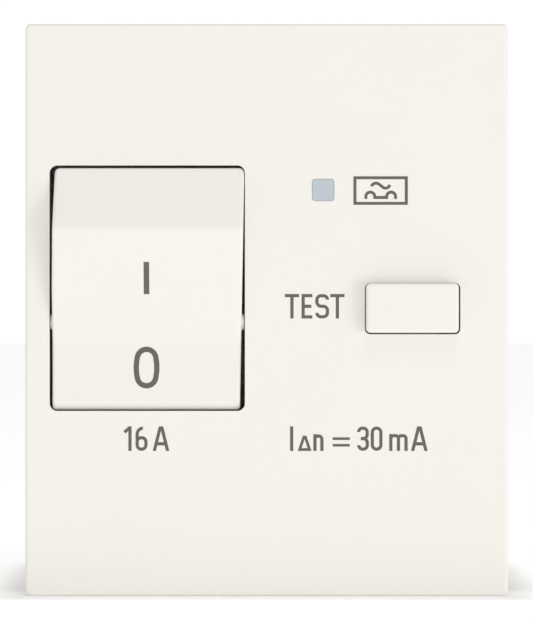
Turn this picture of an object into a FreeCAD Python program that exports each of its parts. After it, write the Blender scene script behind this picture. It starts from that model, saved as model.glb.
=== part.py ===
import FreeCAD, Part
import os
import re
import Sketcher

# A flush residual current breaker, two modules wide, seen from the front along +Y.
# X is its width, +Y goes back into the wall box and Z is up. The origin is the middle of
# the seat, where the rim of the front cover rests on the support frame.

V = FreeCAD.Vector
doc = FreeCAD.newDocument("residual_current_breaker")
sheet = doc.addObject("Spreadsheet::Sheet", "Sizes")

# Driving dimensions in millimetres and degrees
SIZES = {
    # front cover
    "face_wide": 44.6,
    "face_tall": 52.8,
    "cover_deep": 7.0,
    "cover_front": 1.6,
    "cover_side": 1.5,
    "face_corner": 0.55,
    "face_edge": 0.35,
    "hook_wide": 3.0,
    "hook_thick": 1.0,
    "hook_in": 3.3,
    "hook_rise": 14.0,
    "hook_barb": 0.6,
    "hook_slack": 0.15,
    # case shells
    "case_inset": 0.2,
    "case_tall": 44.0,
    "case_deep": 41.0,
    "case_wall": 1.5,
    "middle_thick": 1.2,
    "case_edge": 0.6,
    "collar_deep": 1.6,
    "collar_slack": 0.1,
    "nib_near": 4.5,
    "nib_far": 16.5,
    "nib_out": 0.8,
    "nib_start": 3.2,
    "nib_deep": 2.4,
    "rivet_radius": 1.1,
    "rivet_head": 2.0,
    "rivet_head_thick": 0.5,
    "rivet_slack": 0.05,
    "rivet_front": 3.9,
    "rivet_front_rise": 18.0,
    "rivet_back": 37.3,
    "rivet_back_rise": 5.4,
    "rivet_boss": 2.1,
    # rocker lever and its opening in the cover
    "rocker_rise": 1.99,
    "window_side": 2.255,
    "window_inner": 2.015,
    "window_tall": 22.66,
    "window_corner": 0.7,
    "rocker_top_gap": 0.24,
    "rocker_foot_gap": 0.1,
    "rocker_left_gap": 0.26,
    "rocker_left_lean": 0.25,
    "rocker_right_gap": 0.05,
    "rocker_taper": 0.42,
    "ridge_rise": 7.54,
    "ridge_out": 2.87,
    "rocker_tilt": 16.0,
    "rocker_recess": 0.2,
    "rocker_skirt": 2.8,
    "rocker_wall": 1.1,
    "ridge_wall": 1.32,
    "ridge_round": 1.0,
    "foot_round": 0.85,
    "crease_round": 4.0,
    "rocker_corner": 0.5,
    "rocker_side_round": 0.3,
    "pivot_rise": -1.13,
    "pivot_deep": 2.2,
    "lever_pin_radius": 0.5,
    "lever_pin_cap": 0.7,
    "pin_slack": 0.03,
    "fit_slack": 0.02,
    "hub_radius": 2.0,
    "ear_bump": 0.75,
    "ear_tip_round": 0.14,
    "lever_ear_thick": 1.4,
    "crank_reach": 8.8,
    "crank_thick": 2.4,
    "crank_wide": 2.6,
    # toggle link
    "link_wire": 0.6,
    "link_long": 9.0,
    "link_out": 0.3,
    # contact carrier
    "carrier_reach": 7.5,
    "carrier_hub": 2.2,
    "carrier_pin_radius": 0.9,
    "pin_seat": 0.5,
    "pin_boss": 1.0,
    "carrier_turn": 18.77,
    "open_pivot_slack": 0.3,
    "eye_wall": 0.7,
    "catch_reach": 6.6,
    "opening_spring_wire": 0.2,
    "opening_spring_turns": 2.0,
    "opening_spring_pitch": 0.55,
    "contact_side": 5.6,
    "pad_edge": 0.2,
    "arm_wide": 3.0,
    "arm_thick": 1.0,
    "arm_long": 14.5,
    "arm_socket": 4.6,
    "socket_floor": 1.7,
    "socket_wall": 0.9,
    "pad_wide": 2.6,
    "pad_thick": 0.8,
    "contact_slack": 0.05,
    "strip_thick": 1.0,
    "strip_wide": 4.0,
    "strip_foot": 0.5,
    "strip_slack": 0.6,
    "strip_drop": 26.0,
    "strip_cross": 22.9,
    # arc chute
    "chute_slack": 0.57,
    "chute_side_thick": 0.5,
    "chute_start": 10.7,
    "chute_low": 6.3,
    "chute_head_room": 0.8,
    "chute_plates": 7.0,
    "chute_plate_thick": 0.5,
    "chute_plate_gap": 0.95,
    "braid_radius": 0.6,
    "braid_rise": -4.6,
    "braid_sink": 0.2,
    # trip coil
    "coil_in": 6.0,
    "coil_rise": -0.5,
    "coil_start": 21.2,
    "coil_long": 11.0,
    "coil_wire": 0.55,
    "coil_turns": 6.0,
    "bobbin_radius": 2.7,
    "bobbin_wall": 0.6,
    "bobbin_flange": 4.2,
    "plunger_radius": 1.5,
    "plunger_pin_radius": 0.6,
    "plunger_long": 6.0,
    "plunger_slack": 0.05,
    "plunger_spring_wire": 0.2,
    "plunger_spring_turns": 4.0,
    "yoke_thick": 1.0,
    "yoke_wide": 7.0,
    # trip lever
    "trip_deep": 17.6,
    "trip_rise": 4.9,
    "trip_hub": 1.7,
    "trip_pin_radius": 0.7,
    "trip_foot_gap": 0.3,
    "trip_foot_thick": 1.4,
    "trip_foot_tall": 2.6,
    "trip_tail": 3.0,
    # bimetal
    "bimetal_thick": 0.7,
    "bimetal_wide": 3.6,
    "bimetal_front": 17.2,
    "bimetal_back": 34.0,
    "bracket_thick": 0.5,
    "bracket_front": 21.0,
    # terminals
    "clamp_side": 12.0,
    "wire_in": 8.75,
    "entry_radius": 1.8,
    "entry_wall": 1.2,
    "cage_wide": 8.4,
    "cage_tall": 8.0,
    "cage_deep": 6.4,
    "cage_wall": 1.1,
    "cage_back": 36.0,
    "cage_slack": 0.1,
    "clamp_plate_thick": 0.9,
    "screw_radius": 1.7,
    "screw_slack": 0.05,
    "screw_head": 2.9,
    "screw_head_tall": 1.8,
    "screw_slot": 0.8,
    "screw_travel": 2.2,
    "access_slack": 0.25,
    "shelf_thick": 1.0,
    # test button
    "button_in": 8.84,
    "button_rise": 0.1,
    "button_hole_wide": 8.8,
    "button_hole_tall": 4.73,
    "button_gap_left": 0.09,
    "button_gap_right": 0.2,
    "button_gap_top": 0.03,
    "button_gap_foot": 0.15,
    "button_corner": 0.5,
    "button_out": 1.5,
    "button_edge": 0.3,
    "button_stroke": 1.4,
    "button_flange": 0.7,
    "button_flange_thick": 0.9,
    "button_stem": 1.2,
    "stem_long": 11.0,
    "stem_slack": 0.1,
    "button_spring_radius": 1.95,
    "button_spring_wire": 0.25,
    "button_spring_turns": 4.0,
    "blade_thick": 0.3,
    "blade_wide": 2.6,
    "blade_drop": 2.6,
    "blade_rise": 6.4,
    "blade_gap": 0.3,
    "resistor_radius": 1.1,
    "resistor_long": 6.2,
    "resistor_rise": -1.6,
    "lead_radius": 0.25,
    # indicator
    "lens_side": 5.2,
    "lens_rise": 11.05,
    "lens_size": 2.06,
    "lens_corner": 0.33,
    "lens_slack": 0.03,
    "lens_foot": 0.8,
    "lamp_wide": 2.4,
    "lamp_deep": 2.6,
    # circuit board
    "board_deep": 10.0,
    "board_thick": 1.2,
    "board_near": 1.2,
    "board_slack": 0.6,
    "board_low": 4.6,
    "board_high": 16.0,
    "surge_radius": 3.2,
    "surge_thick": 2.2,
    "surge_gap": 1.2,
    "surge_rise": 11.0,
    "chip_wide": 4.0,
    "chip_tall": 3.0,
    "chip_thick": 1.3,
    "chip_pitch": 5.2,
    "chip_side": 3.4,
    "chip_count": 3.0,
    # sensing transformer
    "sensor_side": 9.6,
    "bar_side_step": 1.3,
    "bar_rise_step": 2.0,
    "bar_cross": 21.8,
    "bar_front": 11.6,
    "bar_drop": 14.2,
    "bar_back": 24.5,
    "bar_start": 18.5,
    "lug_gap": 2.7,
    "lug_wide": 1.6,
    "sensor_rise": -4.4,
    "sensor_front": 13.4,
    "sensor_long": 6.0,
    "core_outer": 7.0,
    "core_inner": 4.6,
    "winding_cover": 0.8,
    "bar_radius": 0.9,
    # relay
    "relay_near": 3.4,
    "relay_far": 16.4,
    "relay_front": 23.2,
    "relay_back": 34.6,
    "relay_seat_gap": 1.63,
    "relay_head_room": 0.63,
    "relay_pin_radius": 0.8,
    "relay_pin_side": 12.4,
    "relay_pin_drop": 1.73,
    "relay_pin_long": 12.0,
    "relay_bore": 6.0,
    # transfer lever between the relay and the trip lever
    "transfer_side": 2.4,
    "transfer_deep": 14.8,
    "transfer_thick": 1.2,
    "transfer_up": 0.2,
    "transfer_tall": 1.2,
    "transfer_pin_radius": 0.7,
    "transfer_hub": 1.6,
    "transfer_ear": 1.2,
    "transfer_gap": 0.15,
    # how far a cut runs past what it cuts, and how far two joined forms sink into each other
    "cut_over": 1.0,
    "sink": 0.1,
}

for row, (alias, number) in enumerate(SIZES.items(), 1):
    sheet.set(f"A{row}", alias)
    sheet.set(f"B{row}", str(number))
    sheet.setAlias(f"B{row}", alias)
doc.recompute()


def tied(text):
    """Write a formula over the size names as the sheet's own expression."""
    return re.sub(r"[a-z_]+", lambda m: f"Sizes.{m[0]}" if m[0] in SIZES else m[0], str(text))


def size(text):
    """Give the number that a formula over the size names has now."""
    return float(sheet.evalExpression(tied(text)))


def bind(thing, prop, text):
    thing.setExpression(prop, tied(text))


def put(thing, place):
    for letter, text in zip("xyz", place):
        bind(thing, f"Placement.Base.{letter}", text)


def plane(body, role):
    return next(f for f in body.Origin.OriginFeatures if f.Role == role)


def piece(label):
    return doc.addObject("PartDesign::Body", label)


def block(body, x, y, z, cut=False):
    """Add a box between two places on each axis to a body, or cut it away."""
    kind = "PartDesign::SubtractiveBox" if cut else "PartDesign::AdditiveBox"
    box = body.newObject(kind, "block")
    put(box, (x[0], y[0], z[0]))
    for prop, (low, high) in zip(("Length", "Width", "Height"), (x, y, z)):
        bind(box, prop, f"({high}) - ({low})")
    return box


TURNS = {"x": FreeCAD.Rotation(V(0, 1, 0), 90), "y": FreeCAD.Rotation(V(1, 0, 0), -90),
         "z": FreeCAD.Rotation()}
ACROSS = FreeCAD.Rotation(V(1, 0, 0), 90)
HALF_TURN = 0.5


def place_round(thing, axis, at, span):
    """Lay a round feature along an axis; at gives its other two places in X, Y, Z order."""
    thing.Placement = FreeCAD.Placement(V(), TURNS[axis])
    spot = list(at)
    spot.insert("xyz".index(axis), span[0])
    put(thing, spot)
    bind(thing, "Height", f"({span[1]}) - ({span[0]})")


def rod(body, axis, at, span, radius, cut=False):
    """Add a round bar along an axis to a body, or bore it away."""
    kind = "PartDesign::SubtractiveCylinder" if cut else "PartDesign::AdditiveCylinder"
    bar = body.newObject(kind, "rod")
    place_round(bar, axis, at, span)
    bind(bar, "Radius", radius)
    return bar


PLANES = {"x": "YZ_Plane", "y": "XZ_Plane", "z": "XY_Plane"}


def outline(body, axis, points, start):
    """Sketch a closed outline across an axis, its corners tied to the sheet."""
    sketch = body.newObject("Sketcher::SketchObject", "outline")
    sketch.AttachmentSupport = (plane(body, PLANES[axis]), [""])
    sketch.MapMode = "FlatFace"
    bind(sketch, "AttachmentOffset.Base.z", f"-({start})" if axis == "y" else start)
    spots = [(size(a), size(b)) for a, b in points]
    for index, (a, b) in enumerate(spots):
        c, d = spots[(index + 1) % len(spots)]
        sketch.addGeometry(Part.LineSegment(V(a, b, 0), V(c, d, 0)), False)
    for index in range(len(spots)):
        follower = (index + 1) % len(spots)
        sketch.addConstraint(Sketcher.Constraint("Coincident", index, 2, follower, 1))
    for index, ends in enumerate(points):
        for kind, text, spot in zip(("DistanceX", "DistanceY"), ends, spots[index]):
            rule = sketch.addConstraint(Sketcher.Constraint(kind, -1, 1, index, 1, spot))
            bind(sketch, f"Constraints[{rule}]", text)
    return sketch


def slab(body, axis, points, span, cut=False):
    """Pad an outline along an axis from one place to another, or pocket it."""
    sketch = outline(body, axis, points, span[0])
    feature = body.newObject("PartDesign::Pocket" if cut else "PartDesign::Pad", "slab")
    feature.Profile = sketch
    feature.Reversed = (axis == "y") != cut
    bind(feature, "Length", f"({span[1]}) - ({span[0]})")
    return feature


def soften(body, radius, wanted):
    """Round the edges of the body's last feature that the wanted test picks by midpoint."""
    doc.recompute()
    last = body.Tip
    names = []
    for index, edge in enumerate(last.Shape.Edges, 1):
        middle = edge.valueAt((edge.FirstParameter + edge.LastParameter) / 2)
        if wanted(middle, edge):
            names.append(f"Edge{index}")
    rounding = body.newObject("PartDesign::Fillet", "rounding")
    rounding.Base = (last, names)
    bind(rounding, "Radius", radius)
    return rounding


NEAR = 0.02


def near(one, other):
    return abs(one - other) < NEAR


def along(edge, axis):
    """Tell whether an edge is straight along an axis."""
    start, end = edge.Vertexes[0].Point, edge.Vertexes[-1].Point
    run = end - start
    return edge.Curve.TypeId == "Part::GeomLine" and near(abs(getattr(run, axis)), run.Length)


# Places that several pieces share
FACE = "-cover_deep"
COVER_INNER = "cover_front - cover_deep"
SIDE_IN = "(face_wide/2 - cover_side)"
CASE_X = "(face_wide/2 - case_inset)"
CASE_Z = "(case_tall/2)"
CASE_IN_X = f"({CASE_X} - case_wall)"
CASE_IN_Z = f"({CASE_Z} - case_wall)"
CASE_BACK = "(case_deep - case_wall)"
MID = "(middle_thick/2)"
WIN_LEFT = "(window_side - face_wide/2)"
WIN_RIGHT = "(-window_inner)"
ROCKER_X = f"(({WIN_LEFT} + {WIN_RIGHT})/2)"
WIN_LOW = "(rocker_rise - window_tall/2)"
WIN_HIGH = "(rocker_rise + window_tall/2)"
PIVOT_Y = "(pivot_deep - cover_deep)"
PIVOT = (PIVOT_Y, "pivot_rise")
CRANK_Y = f"({PIVOT_Y} + crank_reach*cos(rocker_tilt/2))"
CRANK_Z = "(pivot_rise + crank_reach*sin(rocker_tilt/2))"
EYE_Z = f"({CRANK_Z} - link_long)"
CARRIER_Y = f"({CRANK_Y} + carrier_reach*cos(carrier_turn/2))"
CARRIER_Z = f"({EYE_Z} - carrier_reach*sin(carrier_turn/2))"
MECH_LEFT = f"({ROCKER_X} - crank_thick/2)"
MECH_RIGHT = f"({ROCKER_X} + crank_thick/2)"
LINE_X = f"({ROCKER_X} - contact_side)"
NEUTRAL_X = f"({ROCKER_X} + contact_side)"
COIL_X = f"(coil_in - {CASE_IN_X})"
LUG_X = f"({COIL_X} + bimetal_wide/2 + lug_gap)"
BOARD_FAR = f"({CASE_IN_X} - board_slack)"
STRIP_TOP = f"({CASE_IN_Z} - strip_slack)"
CHUTE_HALF = f"({LINE_X} + {CASE_IN_X} - chute_slack)"
CHUTE_HIGH = f"({STRIP_TOP} - strip_thick - chute_head_room)"
WIRE_RISE = f"({CASE_Z} - wire_in)"
BUTTON_X = "(face_wide/2 - button_in)"
HOOK_X = f"({SIDE_IN} - hook_in)"
HOOK_OUT = "(hook_rise + hook_thick)"
CAGE_FLOOR = f"({WIRE_RISE} - entry_radius - strip_thick - fit_slack)"
CAGE_LOW = f"({CAGE_FLOOR} - cage_wall)"
CAGE_HIGH = f"({CAGE_LOW} + cage_tall)"
CAGE_FRONT = "(cage_back - cage_deep)"
SCREW_Y = "(cage_back - cage_deep/2)"
SHELF_TOP = f"(-({CAGE_LOW} - cage_slack - shelf_thick))"
RELAY_PIN_Z = f"(-{SHELF_TOP} - relay_pin_drop)"
TRANSFER_LOW = f"({RELAY_PIN_Z} + transfer_up)"
TRANSFER_HIGH = f"({TRANSFER_LOW} + transfer_tall)"
PLATE_LOW = f"({WIRE_RISE} + entry_radius + fit_slack)"
HEAD_LOW = f"({CAGE_HIGH} + screw_travel + cage_slack)"


def both(place, half):
    """Give the two ends of a span that lies evenly about a place."""
    return (f"{place} - ({half})", f"{place} + ({half})")


def past(low, high):
    """Give a span that runs past both places, for a cut right through."""
    return (f"{low} - cut_over", f"{high} + cut_over")


def mirrored(low, high, sign):
    """Give a span as it is, or on the other side of zero."""
    return (low, high) if sign > 0 else (f"-({high})", f"-({low})")


def leaning(side_low, side_high, reach_low, reach_high):
    """Outline a bar that leans back on the carrier's axis by its turn, in Y and Z."""
    corners = ((side_low, reach_low), (side_low, reach_high), (side_high, reach_high),
               (side_high, reach_low))
    lean = "carrier_turn"
    return [(f"{CARRIER_Y} + ({reach})*sin({lean}) - ({side})*cos({lean})",
             f"{CARRIER_Z} + ({reach})*cos({lean}) + ({side})*sin({lean})")
            for side, reach in corners]


def make_cover():
    """Cap with the raised plate, a window for each control and four snap hooks."""
    body = piece("front_cover")
    half_x, half_z = "face_wide/2", "face_tall/2"
    block(body, both("0", half_x), (FACE, "0"), both("0", half_z))
    soften(body, "face_corner", lambda spot, edge: along(edge, "y"))
    front = size(FACE)
    soften(body, "face_edge", lambda spot, edge: near(spot.y, front))
    block(body, both("0", f"{SIDE_IN}"), (COVER_INNER, "cut_over"), both("0", "face_tall/2 - cover_side"),
          cut=True)
    window = ((WIN_LEFT, WIN_RIGHT), (WIN_LOW, WIN_HIGH), "window_corner")
    button = (both(BUTTON_X, "button_hole_wide/2"), both("button_rise", "button_hole_tall/2"),
              "button_corner")
    lens = (both("lens_side", "lens_size/2"), both("lens_rise", "lens_size/2"), "lens_corner")
    for x, z, corner in (window, button, lens):
        block(body, x, (f"{FACE} - cut_over", f"{COVER_INNER} + cut_over"), z, cut=True)
        sides, heights = [size(text) for text in x], [size(text) for text in z]
        soften(body, corner, lambda spot, edge: along(edge, "y") and spot.y < 0
               and any(near(spot.x, a) for a in sides) and any(near(spot.z, b) for b in heights))
    ear_y = (COVER_INNER, f"{PIVOT_Y} + hub_radius")
    block(body, (f"-{SIDE_IN} - sink", WIN_LEFT), ear_y, both("pivot_rise", "hub_radius"))
    block(body, (WIN_RIGHT, f"{WIN_RIGHT} + lever_ear_thick"), ear_y, both("pivot_rise", "hub_radius"))
    rod(body, "x", PIVOT, ("-face_wide/2 + lever_pin_cap", f"{WIN_RIGHT} + 2*lever_ear_thick"),
        "lever_pin_radius + fit_slack", cut=True)
    hook_end = "case_wall + hook_slack + 2*hook_barb"
    for side in (-1, 1):
        for level in (-1, 1):
            x = both(f"{side}*{HOOK_X}", "hook_wide/2")
            block(body, x, (COVER_INNER, hook_end), mirrored("hook_rise", HOOK_OUT, level))
            block(body, x, ("case_wall + hook_slack", hook_end),
                  mirrored("hook_rise", f"{HOOK_OUT} + hook_barb", level))
    return body


def make_shell(label, side):
    """Half of the case: an open tray whose rim meets the middle wall."""
    body = piece(label)
    block(body, mirrored(MID, CASE_X, side), ("0", "case_deep"), both("0", CASE_Z))
    outer = size(f"{side}*{CASE_X}")
    back = size("case_deep")
    soften(body, "case_edge", lambda spot, edge: near(spot.x, outer) and not near(spot.y, 0)
           or near(spot.y, back) and along(edge, "x"))
    block(body, mirrored(f"{MID} - cut_over", CASE_IN_X, side), ("case_wall", CASE_BACK),
          both("0", CASE_IN_Z), cut=True)
    for level in (-1, 1):
        block(body, mirrored(MID, f"{SIDE_IN} - collar_slack", side), ("-collar_deep", "0"),
              mirrored(CASE_IN_Z, "face_tall/2 - cover_side - collar_slack", level))
    clamp_x = f"{side}*clamp_side"
    for level in (-1, 1):
        wire = (clamp_x, f"{level}*{WIRE_RISE}")
        rod(body, "y", wire, ("cage_back + cage_slack", "case_deep"), "entry_radius + entry_wall")
        rod(body, "y", wire, ("cage_back", "case_deep + cut_over"), "entry_radius", cut=True)
        rod(body, "z", (clamp_x, SCREW_Y), mirrored(*past(CASE_IN_Z, CASE_Z), level),
            "screw_head + access_slack", cut=True)
        shelf = mirrored(f"{CAGE_LOW} - cage_slack - shelf_thick", f"{CAGE_LOW} - cage_slack", level)
        block(body, mirrored("clamp_side - cage_wide/2", f"{CASE_IN_X} + sink", side),
              (f"{CAGE_FRONT} - cut_over", f"{CASE_BACK} + sink"), shelf)
        nib = mirrored(f"{CASE_Z} - sink", f"{CASE_Z} + nib_out", level)
        block(body, mirrored("nib_near", "nib_far", side), ("nib_start", "nib_start + nib_deep"), nib)
        slot = mirrored("hook_rise - hook_slack", f"{HOOK_OUT} + 2*hook_slack", level)
        block(body, both(f"{side}*{HOOK_X}", "hook_wide/2 + hook_slack"),
              ("-cut_over", "case_wall + sink"), slot, cut=True)
        for deep, rise in (("rivet_front", "rivet_front_rise"), ("rivet_back", "rivet_back_rise")):
            spot = (deep, f"{level}*{rise}")
            rod(body, "x", spot, mirrored(MID, f"{CASE_IN_X} + sink", side), "rivet_boss")
            rod(body, "x", spot, mirrored(f"{MID} - cut_over", f"{CASE_X} + cut_over", side),
                "rivet_radius + rivet_slack", cut=True)
            rod(body, "x", spot, mirrored(f"{CASE_X} - rivet_head_thick", f"{CASE_X} + cut_over", side),
                "rivet_head + rivet_slack", cut=True)
    return body


def make_left_shell():
    """Breaker side of the case, open in front for the rocker lever."""
    body = make_shell("left_case_shell", -1)
    block(body, (f"{WIN_LEFT} + cut_over", f"{WIN_RIGHT} - cut_over"), ("-cut_over", "case_wall + sink"),
          (f"{WIN_LOW} + cut_over", f"{WIN_HIGH} - cut_over"), cut=True)
    boss = "carrier_pin_radius + pin_boss"
    rod(body, "x", (CARRIER_Y, CARRIER_Z), (f"-{CASE_IN_X} - sink", f"pin_boss - {CASE_IN_X}"), boss)
    rod(body, "x", (CARRIER_Y, CARRIER_Z), (f"-{CASE_IN_X} - pin_seat", "0"),
        "carrier_pin_radius + fit_slack", cut=True)
    rod(body, "x", ("trip_deep", "trip_rise"), (f"-{CASE_IN_X} - pin_seat", "0"),
        "trip_pin_radius + fit_slack", cut=True)
    return body


def make_right_shell():
    """Residual current side of the case, with holes for the button's stem and the lamp."""
    body = make_shell("right_case_shell", 1)
    rod(body, "y", (BUTTON_X, "button_rise"), ("-cut_over", "case_wall + cut_over"),
        "button_stem + stem_slack", cut=True)
    block(body, both("lens_side", "lens_size/2 + stem_slack"), ("-cut_over", "case_wall + cut_over"),
          both("lens_rise", "lens_size/2 + stem_slack"), cut=True)
    return body


def make_middle_wall():
    """Partition with windows for the conductors and the transfer lever, and its bearing ears."""
    body = piece("middle_wall")
    block(body, both("0", MID), ("0", "case_deep"), both("0", CASE_Z))
    for level in (-1, 1):
        for deep, rise in (("rivet_front", "rivet_front_rise"), ("rivet_back", "rivet_back_rise")):
            rod(body, "x", (deep, f"{level}*{rise}"), both("0", "2*cut_over"),
                "rivet_radius + rivet_slack", cut=True)
    for spot, radius in (((CARRIER_Y, CARRIER_Z), "carrier_pin_radius"),
                         (("trip_deep", "trip_rise"), "trip_pin_radius")):
        rod(body, "x", spot, both("0", "2*cut_over"), f"{radius} + fit_slack", cut=True)
    low, high = f"{TRANSFER_LOW} - transfer_gap", f"{TRANSFER_HIGH} + transfer_gap"
    for z in ((f"{low} - transfer_ear", low), (high, f"{high} + transfer_ear")):
        block(body, (f"{MID} - sink", "transfer_side + transfer_hub"),
              both("transfer_deep", "transfer_hub"), z)
    rod(body, "z", ("transfer_side", "transfer_deep"), (f"{low} - 3*cut_over", f"{high} + 3*cut_over"),
        "transfer_pin_radius + fit_slack", cut=True)
    block(body, both("0", "middle_thick"), both("transfer_deep", "transfer_hub"), (low, high), cut=True)
    block(body, both("0", "middle_thick"), ("strip_cross - sink", "strip_drop + strip_thick + sink"),
          (f"{STRIP_TOP} - strip_thick - sink", CASE_IN_Z), cut=True)
    for deep, rise in (("bar_cross", "sensor_rise - bar_rise_step"),
                       ("bar_cross", "sensor_rise + bar_rise_step"),
                       ("bar_back - 2*bar_radius", "-bar_drop")):
        rod(body, "x", (deep, rise), both("0", "2*cut_over"), "bar_radius + stem_slack", cut=True)
    return body


def make_rivets():
    """Four tube rivets through the case, headed at both ends."""
    rivets = []
    for level in (-1, 1):
        for deep, rise in (("rivet_front", "rivet_front_rise"), ("rivet_back", "rivet_back_rise")):
            rivet = piece("rivet")
            spot = (deep, f"{level}*{rise}")
            rod(rivet, "x", spot, both("0", CASE_X), "rivet_radius")
            for side in (-1, 1):
                rod(rivet, "x", spot, mirrored(f"{CASE_X} - rivet_head_thick", CASE_X, side),
                    "rivet_head")
            rod(rivet, "x", spot, both("0", f"{CASE_X} + cut_over"), "rivet_radius/2", cut=True)
            rivets.append(rivet)
    return group("case_rivets", rivets)


def make_rocker():
    """Rocker in its off position: a ridge above, a flat foot below and a crank behind."""
    body = piece("rocker_lever")
    flush = "rocker_recess - cover_deep"
    top, foot = f"{WIN_HIGH} - rocker_top_gap", f"{WIN_LOW} + rocker_foot_gap"
    crease = "ridge_rise - (ridge_out + rocker_recess)/tan(rocker_tilt)"
    skirt = "rocker_skirt - cover_deep"
    left, right = f"({WIN_LEFT} + rocker_left_gap)", f"({WIN_RIGHT} - rocker_right_gap)"
    narrow = f"({right} - rocker_taper)"
    slab(body, "x", [(flush, top), ("-cover_deep - ridge_out", "ridge_rise"), (flush, crease),
                     (flush, foot), (skirt, foot), (skirt, top)], (left, right))

    def ridge_line(y, z):
        place = (size(y), size(z))
        return lambda spot, edge: along(edge, "x") and near(spot.y, place[0]) and near(spot.z, place[1])
    soften(body, "ridge_round", ridge_line("-cover_deep - ridge_out", "ridge_rise"))
    soften(body, "crease_round", ridge_line(flush, crease))
    soften(body, "foot_round", ridge_line(flush, foot))
    leaning = f"({left} + rocker_left_lean)"
    beside, below, above = f"{right} + cut_over", f"{foot} - cut_over", f"{top} + cut_over"
    deep = past("-cover_deep - ridge_out", "0")
    slab(body, "y", [(right, top), (beside, top), (beside, below), (narrow, below)], deep, cut=True)
    slab(body, "y", [(left, "rocker_rise"), (leaning, above), (f"{left} - cut_over", above),
                     (f"{left} - cut_over", "rocker_rise")], deep, cut=True)
    edges = (size(leaning), size(narrow))
    high, back = size(top), size(skirt)
    soften(body, "rocker_corner", lambda spot, edge: along(edge, "y") and near(spot.z, high))
    soften(body, "rocker_side_round", lambda spot, edge: spot.y < back - NEAR
           and not edges[0] + NEAR < spot.x < edges[1] - NEAR and not near(spot.z, high))
    inner = f"{flush} + rocker_wall"
    high_in, low_in, open_end = f"{top} - rocker_wall", f"{foot} + rocker_wall", f"{skirt} + cut_over"
    slab(body, "x", [(inner, high_in), ("ridge_wall - cover_deep - ridge_out", "ridge_rise"),
                     (inner, crease), (inner, low_in), (open_end, low_in), (open_end, high_in)],
         (f"{left} + rocker_wall", f"{narrow} - rocker_wall"), cut=True)
    rod(body, "x", PIVOT, (left, narrow), "hub_radius")
    bump = (f"{flush} + ear_bump", "pivot_rise")
    tips = (f"{WIN_LEFT} + 2*pin_slack", f"{WIN_RIGHT} - 2*pin_slack")
    rod(body, "x", bump, tips, "ear_bump")
    reach = [size(tip) for tip in tips]
    soften(body, "ear_tip_round", lambda spot, edge: any(near(spot.x, tip) for tip in reach))
    slab(body, "x", [(PIVOT_Y, "pivot_rise - crank_wide/2"), (CRANK_Y, f"{CRANK_Z} - crank_wide/2"),
                     (CRANK_Y, f"{CRANK_Z} + crank_wide/2"), (PIVOT_Y, "pivot_rise + crank_wide/2")],
         (MECH_LEFT, MECH_RIGHT))
    rod(body, "x", (CRANK_Y, CRANK_Z), (MECH_LEFT, MECH_RIGHT), "crank_wide/2")
    rod(body, "x", (CRANK_Y, CRANK_Z), past(MECH_LEFT, MECH_RIGHT),
        "link_wire + pin_slack", cut=True)
    rod(body, "x", PIVOT, ("-face_wide/2", "0"), "lever_pin_radius + pin_slack", cut=True)
    return body


def make_pin(label, spot, span, radius, axis="x"):
    body = piece(label)
    rod(body, axis, spot, span, radius)
    return body


def wire(label, radius, places):
    """Round conductor through places that each differ from the last along one axis."""
    body = piece(label)
    for first, second in zip(places, places[1:]):
        letter = next(a for a, p, q in zip("xyz", first, second) if p != q)
        index = "xyz".index(letter)
        at = [text for place, text in enumerate(first) if place != index]
        ends = sorted((first[index], second[index]), key=size)
        rod(body, letter, at, ends, radius)
    for place in places[1:-1]:
        ball = body.newObject("PartDesign::AdditiveSphere", "bend")
        put(ball, place)
        bind(ball, "Radius", radius)
    return body


def make_link():
    """Bent wire that carries the rocker's crank motion to the contact carrier."""
    leg = f"{MECH_RIGHT} + link_wire + link_out"
    far = f"{MECH_LEFT} - link_out"
    return wire("toggle_link", "link_wire", [(far, CRANK_Y, CRANK_Z), (leg, CRANK_Y, CRANK_Z),
                                              (leg, CRANK_Y, EYE_Z), (far, CRANK_Y, EYE_Z)])


def make_carrier():
    """Insulating shaft with an eye for the link, a catch and a socket for each contact arm."""
    body = piece("contact_carrier")
    centre = (CARRIER_Y, CARRIER_Z)
    socket = "arm_wide/2 + socket_wall"
    rod(body, "x", centre, (f"{LINE_X} - ({socket})", f"{NEUTRAL_X} + {socket}"), "carrier_hub")
    slab(body, "x", [(CARRIER_Y, f"{CARRIER_Z} - crank_wide/2"), (CRANK_Y, f"{EYE_Z} - crank_wide/2"),
                     (CRANK_Y, f"{EYE_Z} + crank_wide/2"), (CARRIER_Y, f"{CARRIER_Z} + crank_wide/2")],
         (MECH_LEFT, MECH_RIGHT))
    eye = "link_wire + open_pivot_slack"
    rod(body, "x", (CRANK_Y, EYE_Z), (MECH_LEFT, MECH_RIGHT), f"{eye} + eye_wall")
    slab(body, "x", leaning("-arm_thick", "arm_thick", "0", "catch_reach"), (MECH_LEFT, MECH_RIGHT))
    for middle in (LINE_X, NEUTRAL_X):
        thick = "arm_thick/2 + socket_wall"
        slab(body, "x", leaning(f"-({thick})", thick, "0", "arm_socket"), both(middle, socket))
        slot = "arm_thick/2 + fit_slack"
        slab(body, "x", leaning(f"-({slot})", slot, "socket_floor", "arm_socket + cut_over"),
             both(middle, "arm_wide/2 + fit_slack"), cut=True)
    rod(body, "x", (CRANK_Y, EYE_Z), past(MECH_LEFT, MECH_RIGHT), eye, cut=True)
    rod(body, "x", centre, (f"-{CASE_X}", "0"), "carrier_pin_radius + pin_slack", cut=True)
    return body


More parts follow.
